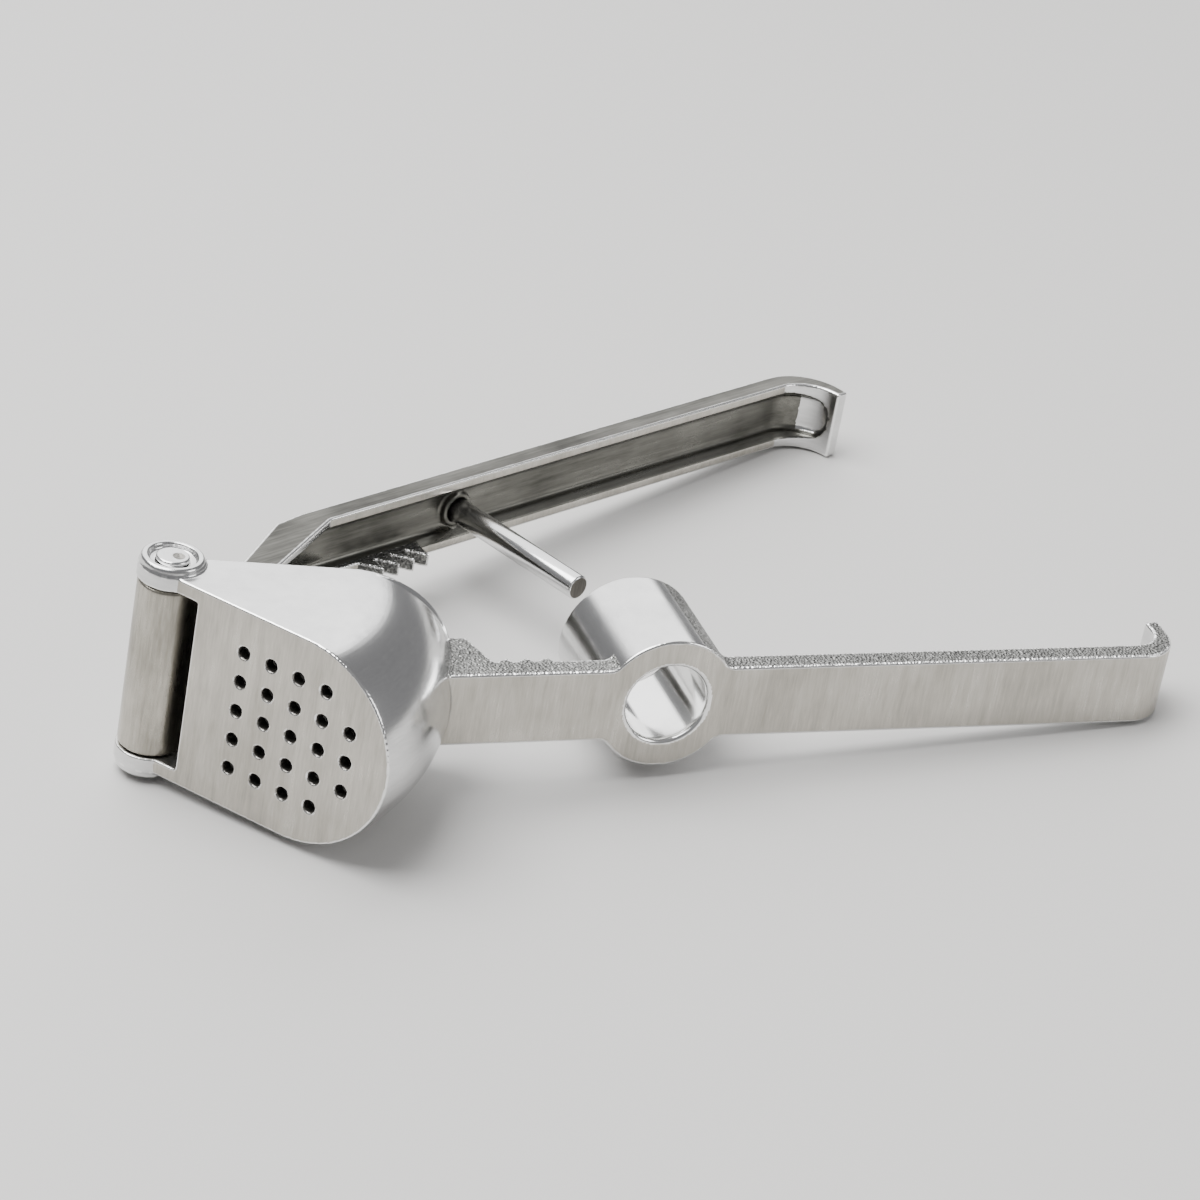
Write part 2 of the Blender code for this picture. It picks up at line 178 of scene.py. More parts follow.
def make_cast_skin():
    """The grainy skin that sand leaves on a casting: small crystals, pits and bright specks."""
    group, given, result = shader_group(
        "cast_skin",
        [("Grains per metre", "NodeSocketFloat", 3000)],
        [("Skin", "NodeSocketFloat"), ("Specks", "NodeSocketFloat"), ("Clouds", "NodeSocketFloat")])
    place = add_lever_place(group)
    crystals = group.nodes.new("ShaderNodeTexVoronoi")
    group.links.new(place.outputs["Vector"], crystals.inputs["Vector"])
    group.links.new(given.outputs["Grains per metre"], crystals.inputs["Scale"])
    pits = add_noise(group, place.outputs["Vector"], 1400.0, 3.0, 0.6)
    skin = add_math(group, "ADD", crystals.outputs["Distance"], pits)
    shade = group.nodes.new("ShaderNodeSeparateColor")
    group.links.new(crystals.outputs["Color"], shade.inputs["Color"])
    specks = add_spread(group, shade.outputs["Red"], 0.72, 0.95, 0.0, 1.0)
    clouds = add_noise(group, place.outputs["Vector"], 120.0, 2.0)
    group.links.new(skin, result.inputs["Skin"])
    group.links.new(specks, result.inputs["Specks"])
    group.links.new(clouds, result.inputs["Clouds"])
    return group


def make_edge_wear():
    """Bright, smooth metal on the outer edges, where hands and drawers have rubbed them."""
    group, given, result = shader_group(
        "edge_wear",
        [("Color", "NodeSocketColor", (0.5, 0.5, 0.5, 1)), ("Roughness", "NodeSocketFloat", 0.3)],
        [("Color", "NodeSocketColor"), ("Roughness", "NodeSocketFloat")])
    rubbed = group.nodes.new("ShaderNodeAttribute")
    rubbed.attribute_name = "rubbed"
    share = add_spread(group, rubbed.outputs["Fac"], 0.02, 0.07, 0.0, 1.0)
    mix = group.nodes.new("ShaderNodeMix")
    mix.data_type = "RGBA"
    unworn, bright = [socket for socket in mix.inputs if socket.type == "RGBA"]
    mixed = [socket for socket in mix.outputs if socket.type == "RGBA"][0]
    bright.default_value = (0.88, 0.88, 0.87, 1)
    group.links.new(given.outputs["Color"], unworn)
    group.links.new(share, mix.inputs["Factor"])
    smoother = add_spread(group, share, 0.0, 1.0, 1.0, 0.55)
    rough = add_math(group, "MULTIPLY", given.outputs["Roughness"], smoother)
    group.links.new(mixed, result.inputs["Color"])
    group.links.new(rough, result.inputs["Roughness"])
    return group


grinding_lines = make_grinding_lines()
cast_skin = make_cast_skin()
edge_wear = make_edge_wear()


def start_metal(name, roughness):
    """A metal with its shader and output, ready for colour, roughness and relief."""
    material = bpy.data.materials.new(name)
    material.use_nodes = True
    shader = material.node_tree.nodes["Principled BSDF"]
    shader.inputs["Metallic"].default_value = 1.0
    shader.inputs["Roughness"].default_value = roughness
    return material, material.node_tree, shader


def add_group(tree, group, **values):
    node = tree.nodes.new("ShaderNodeGroup")
    node.node_tree = group
    for label, value in values.items():
        node.inputs[label.replace("_", " ")].default_value = value
    return node


def add_colours(tree, value, low, high, dark, light):
    """A colour that runs from dark to light as the value runs from low to high."""
    ramp = tree.nodes.new("ShaderNodeValToRGB")
    ramp.color_ramp.elements[0].position = low
    ramp.color_ramp.elements[0].color = (*dark, 1)
    ramp.color_ramp.elements[1].position = high
    ramp.color_ramp.elements[1].color = (*light, 1)
    tree.links.new(value, ramp.inputs["Fac"])
    return ramp.outputs["Color"]


def add_relief(tree, shader, height, depth):
    bump = tree.nodes.new("ShaderNodeBump")
    bump.inputs["Distance"].default_value = depth
    tree.links.new(height, bump.inputs["Height"])
    tree.links.new(bump.outputs["Normal"], shader.inputs["Normal"])


def add_surface(tree, shader, colour, roughness, worn):
    """Gives a metal its colour and roughness, brighter and smoother on its edges if they are worn."""
    if worn:
        wear = add_group(tree, edge_wear)
        tree.links.new(colour, wear.inputs["Color"])
        tree.links.new(roughness, wear.inputs["Roughness"])
        colour = wear.outputs["Color"]
        roughness = wear.outputs["Roughness"]
    tree.links.new(colour, shader.inputs["Base Color"])
    tree.links.new(roughness, shader.inputs["Roughness"])


def brushed_metal(name, lines, dark, light, smooth, rough, depth, worn=True):
    """Metal with lines that run one way, in its colour, its roughness and its relief."""
    material, tree, shader = start_metal(name, rough)
    marks = add_group(tree, grinding_lines, Lines_per_metre=lines)
    mixed = add_math(tree, "MULTIPLY_ADD", marks.outputs["Lines"], 0.6)
    tree.links.new(add_math(tree, "MULTIPLY", marks.outputs["Clouds"], 0.4), mixed.node.inputs[2])
    add_surface(tree, shader, add_colours(tree, mixed, 0.36, 0.62, dark, light),
                add_spread(tree, mixed, 0.38, 0.62, rough, smooth), worn)
    add_relief(tree, shader, marks.outputs["Lines"], depth)
    return material


def cast_metal(name, grains, dark, light, smooth, rough, depth, worn=True):
    """Metal with its cast skin: grains in relief, a few bright specks and a cloudy shade."""
    material, tree, shader = start_metal(name, rough)
    skin = add_group(tree, cast_skin, Grains_per_metre=grains)
    grain = add_math(tree, "MULTIPLY_ADD", skin.outputs["Specks"], 0.45)
    tree.links.new(add_math(tree, "MULTIPLY", skin.outputs["Skin"], 0.4), grain.node.inputs[2])
    mixed = add_math(tree, "MULTIPLY_ADD", skin.outputs["Clouds"], 0.3)
    tree.links.new(grain, mixed.node.inputs[2])
    add_surface(tree, shader, add_colours(tree, mixed, 0.25, 0.75, dark, light),
                add_spread(tree, mixed, 0.3, 0.8, rough, smooth), worn)
    add_relief(tree, shader, skin.outputs["Skin"], depth)
    return material


# Lines run round the chamber and the ring where they were held against a wheel, and across the handle.
polished = brushed_metal("polished_aluminium", (500, 500, 3200), (0.60, 0.60, 0.60), (0.76, 0.76, 0.755),
                         0.13, 0.24, 0.000006)
bright_bore = brushed_metal("bright_bore_aluminium", (900, 900, 900), (0.82, 0.82, 0.81), (0.93, 0.93, 0.92),
                            0.12, 0.2, 0.000003)
# Painted reflection: the ground metal's darker, warmer tone stands in for a brown board mirrored in its
# faces.
ground_with_painted_reflection = brushed_metal("ground_aluminium_painted_reflection", (3600, 3600, 300), (0.38, 0.36, 0.318), (0.57, 0.545, 0.495),
                       0.26, 0.38, 0.00001)
satin = brushed_metal("satin_aluminium", (2400, 2400, 220), (0.24, 0.225, 0.19), (0.50, 0.475, 0.42),
                      0.22, 0.36, 0.000014)
side_satin = brushed_metal("side_aluminium", (120, 2200, 2200), (0.055, 0.054, 0.049), (0.16, 0.157, 0.142),
                           0.46, 0.6, 0.00002)
rough_cast = cast_metal("rough_cast_aluminium", 2300, (0.03, 0.03, 0.029), (0.27, 0.27, 0.26),
                        0.26, 0.55, 0.00024)
trough_metal = brushed_metal("trough_aluminium", (140, 1600, 1600), (0.075, 0.074, 0.065),
                             (0.19, 0.187, 0.168), 0.24, 0.4, 0.00002, worn=False)
chamber_metal = cast_metal("chamber_aluminium", 1500, (0.36, 0.355, 0.34), (0.56, 0.555, 0.53),
                           0.3, 0.45, 0.00004, worn=False)
hole_metal = cast_metal("hole_aluminium", 2600, (0.16, 0.155, 0.14), (0.3, 0.29, 0.27),
                        0.35, 0.5, 0.00003, worn=False)


def solid(name, builder, finish):
    """One closed mesh with one finish, its faces turned outwards."""
    mesh = bmesh.new()
    builder(mesh)
    bmesh.ops.recalc_face_normals(mesh, faces=mesh.faces[:])
    data = bpy.data.meshes.new(name)
    mesh.to_mesh(data)
    mesh.free()
    data.materials.append(finish)
    piece = bpy.data.objects.new(name, data)
    bpy.context.collection.objects.link(piece)
    return piece


def bridge(mesh, rows):
    """Closes a run of equal rings of points into one skin, with a cap on each end."""
    rings = [[mesh.verts.new(point) for point in row] for row in rows]
    for ring, following in zip(rings, rings[1:]):
        for here in range(len(ring)):
            there = (here + 1) % len(ring)
            mesh.faces.new((ring[here], ring[there], following[there], following[here]))
    mesh.faces.new(rings[0])
    mesh.faces.new(rings[-1])


def plate(name, outline, low, high, finish):
    """A plate with this outline in the XY plane, from one height to another."""
    def build(mesh):
        bridge(mesh, [[(x, y, height) for x, y in outline] for height in (low, high)])
    return solid(name, build, finish)


def turned(name, centre, axis, profile, finish, segments=96):
    """A turned piece from (distance along the axis, radius) steps, starting at centre."""
    turn = Vector((0, 0, 1)).rotation_difference(Vector(axis)).to_matrix().to_4x4()
    place = Matrix.Translation(centre) @ turn

    def build(mesh):
        rows = []
        for distance, radius in profile:
            row = []
            for step in range(segments):
                angle = 2 * math.pi * (step + 0.5) / segments
                row.append(place @ Vector((radius * math.cos(angle), radius * math.sin(angle), distance)))
            rows.append(row)
        bridge(mesh, rows)
    return solid(name, build, finish)


def rod(name, centre, axis, radius, length, finish, segments=96):
    return turned(name, centre, axis, [(0, radius), (length, radius)], finish, segments)


def arc(centre, radius, start, end, steps):
    turns = [start + (end - start) * step / steps for step in range(steps + 1)]
    return [(centre[0] + radius * math.cos(t), centre[1] + radius * math.sin(t)) for t in turns]


def plane_angle(angle, offset, radius):
    """Where a circle of this radius about the hinge meets the plane at this angle and offset."""
    return angle + math.asin(offset / radius)


ROUND_STEPS = 64
SWEEP_STEPS = 28


def swept_cup(name, half_width, reach, root, start, end, finish):
    """A round-ended slab swept about the hinge axis between two planes, each (angle, offset)."""
    centre = reach - half_width
    section = [(root, -half_width)]
    section += [(x, z) for x, z in arc((centre, 0), half_width, -math.pi / 2, math.pi / 2, ROUND_STEPS)]
    section.append((root, half_width))

    def build(mesh):
        rows = []
        for step in range(SWEEP_STEPS + 1):
            row = []
            for radius, height in section:
                low = plane_angle(*start, radius)
                high = plane_angle(*end, radius)
                angle = low + (high - low) * step / SWEEP_STEPS
                row.append((radius * math.cos(angle), radius * math.sin(angle), height))
            rows.append(row)
        bridge(mesh, rows)
    return solid(name, build, finish)


def combine(target, tools, operation):
    """Joins or cuts the tools into the target for good. A cut face keeps its tool's finish."""
    for tool in tools:
        modifier = target.modifiers.new(tool.name, "BOOLEAN")
        modifier.operation = operation
        modifier.solver = "EXACT"
        modifier.material_mode = "TRANSFER"
        modifier.object = tool
        settle(target)
        bpy.data.objects.remove(tool, do_unlink=True)


def settle(piece):
    """Makes the piece's modifiers final."""
    shape = piece.evaluated_get(bpy.context.evaluated_depsgraph_get())
    data = bpy.data.meshes.new_from_object(shape)
    piece.modifiers.clear()
    piece.data = data


SQUARE = 0.21 * MM
RELAXING = 7
THINNING = 0.3
WEAR_EVENING = 2
EDGE_DEPTH = 0.03 * SQUARE


def edge_marks(mesh, leans, passes):
    """How much each point of a skin lies on an outer edge, evened out with its neighbours."""
    for turn in range(passes):
        shares = [[] for vertex in mesh.vertices]
        for face, lean in zip(mesh.polygons, leans):
            for corner in face.vertices:
                shares[corner].append(lean)
        marks = [sum(share) / max(len(share), 1) for share in shares]
        leans = [sum(marks[corner] for corner in face.vertices) / len(face.vertices)
                 for face in mesh.polygons]
    return marks


def soften(piece):
    """Rounds every edge and fillets every corner a little, as casting and polishing leave them.

    The skin is laid again in small squares and relaxed. Each square takes the finish of the face that
    it came from, and each point keeps how far it lies round an outer edge, for the wear.
    """
    sharp = piece.data
    tree = BVHTree.FromPolygons([vertex.co for vertex in sharp.vertices],
                                [face.vertices for face in sharp.polygons])
    finishes = [face.material_index for face in sharp.polygons]
    metals = list(sharp.materials)
    squares = piece.modifiers.new("squares", "REMESH")
    squares.mode = "VOXEL"
    squares.voxel_size = SQUARE
    relax = piece.modifiers.new("relax", "SMOOTH")
    relax.factor = 0.5
    relax.iterations = RELAXING
    thin = piece.modifiers.new("thin", "DECIMATE")
    thin.ratio = THINNING
    settle(piece)
    piece.data.shade_smooth()
    piece.data.materials.clear()
    for metal in metals:
        piece.data.materials.append(metal)
    leans = []
    for face in piece.data.polygons:
        nearest, normal, index, distance = tree.find_nearest(face.center)
        face.material_index = finishes[index]
        outer = distance > EDGE_DEPTH and (face.center - nearest).dot(normal) < 0
        leans.append(1 - normal.dot(face.normal) if outer else 0)
    marks = edge_marks(piece.data, leans, WEAR_EVENING)
    even = piece.modifiers.new("even", "WEIGHTED_NORMAL")
    even.mode = "FACE_AREA"
    even.keep_sharp = False
    settle(piece)
    rubbed = piece.data.attributes.new("rubbed", "FLOAT", "POINT")
    rubbed.data.foreach_set("value", marks)


def finish_slot(piece, finish):
    """The number of this finish among the piece's materials, added where it is missing."""
    names = [material.name for material in piece.data.materials]
    if finish.name not in names:
        piece.data.materials.append(finish)
        return len(names)
    return names.index(finish.name)


def give_finish(piece, finish, chosen):
    """Gives a finish to the faces that the test picks by their centre and normal."""
    slot = finish_slot(piece, finish)
    for face in piece.data.polygons:
        if chosen(face.center, face.normal):
            face.material_index = slot


def place_piece(piece, place, body, slot, *nodes):
    """Lays a piece in place, keeps where its points lie in the lever, and ties it to its body."""
    kept = piece.data.attributes.new("lever_place", "FLOAT_VECTOR", "POINT")
    for item, vertex in zip(kept.data, piece.data.vertices):
        item.vector = vertex.co
    piece.data.transform(place)
    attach(piece, body)
    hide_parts(*nodes)


def on_plane(angle, offset, along):
    """The point at this distance along a plane through the hinge, offset across it."""
    return (along * math.cos(angle) - offset * math.sin(angle),
            along * math.sin(angle) + offset * math.cos(angle))


def teeth(start, count, rim, height):
    """A row of saw teeth along a rim at this Y, as points that run along +X."""
    points = []
    for tooth in range(count):
        x = start + tooth * TOOTH_PITCH
        points += [(x, rim), (x + TOOTH_LEAN * TOOTH_PITCH, rim + height)]
    points.append((start + count * TOOTH_PITCH, rim))
    return points


BEND_STEPS = 28
STRAIGHT_STEPS = 24
TIP_STEPS = 12


def curl(length, face, radius):
    """The curled end of a handle whose outer side is at -face: outer side out, inner side back."""
    tip = CURL_DEPTH - face
    outside = arc((length - radius, radius - face), radius, -math.pi / 2, 0, BEND_STEPS)
    outside.append((length, tip))
    bend = radius - CURL_TIP
    middle = (length - radius, HANDLE_DEPTH - face + bend)
    inside = arc(middle, bend, 0, -math.pi / 2, BEND_STEPS)
    return outside + [(length - CURL_TIP, tip)] + inside


def curl_path(length, face, radius, start):
    """The outer side of a handle from its start to just short of its tip, in short steps."""
    run = (length - radius - start) / STRAIGHT_STEPS
    straight = [(start + run * step, -face) for step in range(STRAIGHT_STEPS)]
    bend = arc((length - radius, radius - face), radius, -math.pi / 2, 0, BEND_STEPS)
    rise = (CURL_DEPTH - TIP_RIM - radius) / TIP_STEPS
    return straight + bend + [(length, radius - face + rise * step) for step in range(1, TIP_STEPS + 1)]


def normals_inward(path, turn):
    """For each point of a path, the way into the metal, long enough to keep an even thickness."""
    found = []
    for here in range(len(path)):
        before = Vector(path[max(here - 1, 0)])
        point = Vector(path[here])
        after = Vector(path[min(here + 1, len(path) - 1)])
        ways = [way.normalized() for way in (point - before, after - point) if way.length > 0]
        middle = sum(ways, Vector((0, 0))).normalized()
        reach = 1 / max(middle.dot(ways[0]), 0.5)
        found.append(Vector((-middle.y, middle.x)) * turn * reach)
    return found


TROUGH_FLOOR = 3.3 * MM
TROUGH_FILLET = 0.9 * MM
TROUGH_NOSE = 3.2 * MM
NOSE_SHARE = 0.35
FILLET_STEPS = 6


def trough_cutter(name, path, turn, top, finish):
    """The space inside a channel handle: sloping sides, a filleted floor and a rounded far end."""
    half_mouth = half_handle - FLANGE
    profile = [(0, TROUGH_FLOOR - TROUGH_FILLET)]
    for step in range(1, FILLET_STEPS + 1):
        angle = math.pi / 2 * step / FILLET_STEPS
        profile.append((TROUGH_FILLET * (1 - math.cos(angle)),
                        TROUGH_FLOOR - TROUGH_FILLET * (1 - math.sin(angle))))
    profile += [(HANDLE_DEPTH - WEB, half_mouth), (top, half_mouth)]
    normals = normals_inward(path, turn)
    lengths = [0]
    for before, after in zip(path, path[1:]):
        lengths.append(lengths[-1] + (Vector(after) - Vector(before)).length)

    def build(mesh):
        rows = []
        for point, normal, length in zip(path, normals, lengths):
            left = min((lengths[-1] - length) / TROUGH_NOSE, 1)
            share = max(math.sqrt(1 - (1 - left) ** 2), NOSE_SHARE)
            side = []
            for height, width in profile:
                foot = Vector(point) + normal * (WEB + height)
                side.append((foot.x, foot.y, width * share))
            rows.append(side + [(x, y, -z) for x, y, z in reversed(side)])
        bridge(mesh, rows)
    return solid(name, build, finish)


# The chamber, its ears and the handle, joined before their edges are rounded.
lower = swept_cup("lower_lever_casting", half_head, HEAD_REACH, ROOT_RADIUS,
                  (SIEVE_ANGLE, -SIEVE_OFFSET), (RIM_ANGLE, RIM_OFFSET), polished)
ears = rod("ears", (0, 0, -half_head), (0, 0, 1), EAR_RADIUS, HEAD_WIDTH, polished)

LOWER_TROUGH_TOP = 4.4 * MM
GUSSET_FLAT = 1.4 * MM
GUSSET_FOOT = 3.6 * MM
lower_rim = HANDLE_DEPTH - LOWER_FACE
gusset_top = RIM_OFFSET / math.cos(RIM_ANGLE) + HEAD_REACH * math.tan(RIM_ANGLE)
root = HEAD_REACH * math.cos(SIEVE_ANGLE)
side_outline = [(root, -LOWER_FACE)] + curl(LOWER_LENGTH, LOWER_FACE, LOWER_CURL_RADIUS)
side_outline += [(HEAD_REACH + GUSSET_FOOT, lower_rim), (HEAD_REACH + GUSSET_FLAT, gusset_top)]
side_outline.append((root, gusset_top))
handle = plate("lower_handle", side_outline, -half_handle, half_handle, polished)
path = curl_path(LOWER_LENGTH, LOWER_FACE, LOWER_CURL_RADIUS, HEAD_REACH)
lower_trough = trough_cutter("lower_trough", path, 1, LOWER_TROUGH_TOP, trough_metal)
combine(handle, [lower_trough], "DIFFERENCE")

LOWER_TEETH_START = HEAD_REACH + 3.4 * MM
LOWER_TEETH = 3
LOWER_TOOTH_HEIGHT = 1.2 * MM
row = teeth(LOWER_TEETH_START, LOWER_TEETH, lower_rim, LOWER_TOOTH_HEIGHT)
sunk = WEB / 2 - LOWER_FACE
saw = plate("lower_saw", [(row[0][0], sunk), (row[-1][0], sunk)] + row[::-1],
            half_handle - TEETH_THICKNESS, half_handle, rough_cast)
ring = rod("ring", (RING_PLACE, -LOWER_FACE, 0), (0, 1, 0), RING_RADIUS, RING_LENGTH, polished,
           segments=128)

# Small fillets where the ring's outside meets the handle's sides.
RING_FILLET = 1.8 * MM
FILLET_ROOT = 3 * RING_FILLET
fillets = []
reach = math.sqrt((RING_RADIUS + RING_FILLET) ** 2 - (half_handle + RING_FILLET) ** 2)
lean = math.asin((half_handle + RING_FILLET) / (RING_RADIUS + RING_FILLET))
for end in (-1, 1):
    for side in (-1, 1):
        hollow = (reach, half_handle + RING_FILLET)
        outline = arc(hollow, RING_FILLET, -math.pi / 2, -math.pi + lean, steps=8)
        outline += [(reach - FILLET_ROOT, half_handle), (reach - FILLET_ROOT, half_handle - FLANGE)]
        outline.append((reach, half_handle - FLANGE))

        def build_fillet(mesh, outline=outline, end=end, side=side):
            bridge(mesh, [[(RING_PLACE + end * x, height, side * z) for x, z in outline]
                          for height in (-LOWER_FACE, lower_rim)])
        fillets.append(solid("ring_fillet", build_fillet, rough_cast))
combine(lower, [ears, handle, saw, ring] + fillets, "UNION")

cavity = swept_cup("cavity", half_cavity, HEAD_REACH - HEAD_WALL, ROOT_RADIUS,
                   (SIEVE_ANGLE, SIEVE_THICKNESS - SIEVE_OFFSET), (RIM_ANGLE + RIM_OVERCUT, RIM_OFFSET),
                   chamber_metal)
gap = [on_plane(SIEVE_ANGLE, across, along) for along, across in (
    (-2 * EAR_RADIUS, -2 * EAR_RADIUS), (WINDOW_END, -2 * EAR_RADIUS),
    (WINDOW_END, 2 * EAR_RADIUS), (-2 * EAR_RADIUS, 2 * EAR_RADIUS))]
window = plate("window", gap, -half_cavity, half_cavity, chamber_metal)
combine(lower, [cavity, window], "DIFFERENCE")


def mouth(radius, flare, steps=6):
    """Profile steps where a hole opens at a face: from a flared mouth down to the hole's radius."""
    angles = [math.pi / 2 * step / steps for step in range(steps + 1)]
    return [(flare * (1 - math.cos(t)), radius + flare * (1 - math.sin(t))) for t in angles]


def dome(reach, radius, rounding, steps=8):
    """Profile steps of a rounded corner at the end of a turned piece."""
    angles = [math.pi / 2 * step / steps for step in range(steps + 1)]
    return [(reach - rounding * (1 - math.sin(t)), radius - rounding * (1 - math.cos(t))) for t in angles]


# A boss on each ear, then the bead round the outside of the chamber's mouth.
BOSS_ROUNDING = 0.6 * MM
BOSS_FOOT = 0.5 * MM
for side in (-1, 1):
    profile = [(-BOSS_FOOT, BOSS_RADIUS - BOSS_FOOT), (-BOSS_FOOT, BOSS_RADIUS)]
    profile += dome(BOSS_HEIGHT, BOSS_RADIUS, BOSS_ROUNDING)
    boss = turned("boss", (0, 0, side * half_head), (0, 0, side), profile, polished)
    combine(lower, [boss], "UNION")

BEAD_RADIUS = 0.75 * MM
BEAD_SETBACK = 0.95 * MM
BEAD_SINK = 0.3 * MM
BEAD_SWEEP = 0.86 * math.pi
BEAD_FULLNESS = 1.15
BEAD_STEPS = 72
BEAD_SIDES = 16


def make_bead():
    """A round bead along the outside of the chamber's mouth, fading out where the wall turns flat."""
    centre = HEAD_REACH - half_head
    out = half_head - BEAD_SINK

    def build(mesh):
        rows = []
        for step in range(BEAD_STEPS + 1):
            turn = BEAD_SWEEP * (step / BEAD_STEPS - 0.5)
            thick = BEAD_RADIUS * min(1, BEAD_FULLNESS * math.sqrt(math.cos(turn)))
            radius = centre + out * math.cos(turn)
            height = out * math.sin(turn)
            angle = plane_angle(RIM_ANGLE, RIM_OFFSET - BEAD_SETBACK, radius)
            row = []
            for side in range(BEAD_SIDES):
                around = 2 * math.pi * side / BEAD_SIDES
                grow = thick * math.cos(around)
                down = thick * math.sin(around)
                far = radius + grow * math.cos(turn)
                lift = height + grow * math.sin(turn)
                x = far * math.cos(angle) - down * math.sin(angle)
                y = far * math.sin(angle) + down * math.cos(angle)
                row.append((x, y, lift))
            rows.append(row)
        bridge(mesh, rows)
    return solid("bead", build, polished)


combine(lower, [make_bead()], "UNION")

# What is drilled and bored after the outside is finished: the hinge, the ring and the sieve.
cuts = [rod("hinge_bore", (0, 0, -HEAD_WIDTH), (0, 0, 1), BORE_RADIUS, 2 * HEAD_WIDTH, hole_metal)]
RIVET_RECESS = 3.5 * MM
RIVET_DEPTH = 0.9 * MM
RECESS_BEVEL = 0.2 * MM
for side in (-1, 1):
    bottom = side * (half_head + BOSS_HEIGHT - RIVET_DEPTH)
    recess = [(0, RIVET_RECESS), (RIVET_DEPTH - RECESS_BEVEL, RIVET_RECESS),
              (RIVET_DEPTH, RIVET_RECESS + RECESS_BEVEL), (PAST, RIVET_RECESS + RECESS_BEVEL)]
    cuts.append(turned("recess", (0, 0, bottom), (0, 0, side), recess, polished))

RING_FLARE = 0.7 * MM
SEAT_FLARE = 2.4 * MM
SEAT_DEPTH = 3.0 * MM
SEAT_LIP = 0.3 * MM
bore = [(-PAST, RING_BORE + RING_FLARE)] + mouth(RING_BORE, RING_FLARE)
bore += [(RING_LENGTH - SEAT_DEPTH, RING_BORE), (RING_LENGTH - SEAT_LIP, RING_BORE + SEAT_FLARE - SEAT_LIP),
         (RING_LENGTH, RING_BORE + SEAT_FLARE), (RING_LENGTH + PAST, RING_BORE + SEAT_FLARE)]
cuts.append(turned("ring_bore", (RING_PLACE, -LOWER_FACE, 0), (0, 1, 0), bore, bright_bore,
                   segments=128))

HOLE_RADIUS = 0.95 * MM
HOLE_PITCH = 4.7 * MM
HOLE_MARGIN = 1.2 * MM
HOLE_FLARE = 0.14 * MM
FIRST_HOLE = 15.9 * MM
DRILL_OVERRUN = 1 * MM


def sieve_places():
    """Centres of the sieve holes on a square grid, as distance along the sieve and height."""
    reach = HEAD_REACH - HEAD_WALL - HOLE_MARGIN - HOLE_RADIUS
    half_field = half_cavity - HOLE_MARGIN - HOLE_RADIUS
    centre = reach - half_field
    rows = int(half_field / HOLE_PITCH)
    columns = int((reach - FIRST_HOLE) / HOLE_PITCH) + 1
    for column in range(columns):
        for row in range(-rows, rows + 1):
            along = FIRST_HOLE + column * HOLE_PITCH
            height = row * HOLE_PITCH
            if math.hypot(max(along - centre, 0), height) <= half_field:
                yield along, height


drill = [(-PAST, HOLE_RADIUS + HOLE_FLARE)] + mouth(HOLE_RADIUS, HOLE_FLARE)
drill.append((SIEVE_THICKNESS + DRILL_OVERRUN, HOLE_RADIUS))
direction = Vector((-math.sin(SIEVE_ANGLE), math.cos(SIEVE_ANGLE), 0))
for along, height in sieve_places():
    x, y = on_plane(SIEVE_ANGLE, -SIEVE_OFFSET, along)
    cuts.append(turned("hole", (x, y, height), direction, drill, hole_metal, segments=28))
combine(lower, cuts, "DIFFERENCE")

# Tests that tell which part of the casting a face belongs to, by its centre and normal.
FLAT = 0.999
NEAR = 0.05 * MM
LEVEL = 0.05
SIDE_START = HEAD_REACH - 3 * MM
sieve_out = Vector((math.sin(SIEVE_ANGLE), -math.cos(SIEVE_ANGLE), 0))


def on_sieve_face(centre, normal):
    return normal.dot(sieve_out) > FLAT and abs(centre.dot(sieve_out) - SIEVE_OFFSET) < NEAR


def on_handle_face(centre, normal):
    flat = normal.y < -FLAT and abs(centre.y + LOWER_FACE) < NEAR
    past = centre.x - (LOWER_LENGTH - LOWER_CURL_RADIUS)
    above = centre.y + LOWER_FACE - LOWER_CURL_RADIUS
    outside = math.hypot(past, above) > LOWER_CURL_RADIUS - WEB / 2
    return flat or (past > 0 and abs(normal.z) < LEVEL and outside)


def on_handle_side(centre, normal):
    return abs(normal.z) > FLAT and abs(abs(centre.z) - half_handle) < NEAR and centre.x > SIDE_START


def on_ring_flank(centre, normal):
    """The strip of the ring's outside that the wheel doesn't reach, on the far side from the chamber."""
    outside = abs(math.hypot(centre.x - RING_PLACE, centre.z) - RING_RADIUS) < NEAR
    return outside and abs(normal.y) < 0.1 and normal.x > 0.42 and normal.z > 0.1


# The sieve face and the handle face take the ground metal, whose warm tone is a painted reflection of a
# brown board.
give_finish(lower, ground_with_painted_reflection, on_sieve_face)
give_finish(lower, ground_with_painted_reflection, on_handle_face)
give_finish(lower, rough_cast, on_handle_side)
give_finish(lower, rough_cast, on_ring_flank)
soften(lower)
place_piece(lower, lower_place, "lower_lever", "cast_aluminium", "lower_lever")


# ---------------------------------------------------------------------------------------------------
# Upper lever. One casting in aluminium: the barrel of the hinge, the plunger that fits the chamber,
# the ribs that carry it and a channel handle that curls in the other way. The inside of the channel
# is as cast, dull and lined, the far part of its curl carries a painted highlight, and its rims are ground
# bright.
# ---------------------------------------------------------------------------------------------------

upper_place = lever_place(Vector(mounts["upper_handle_face"]["axis"]))

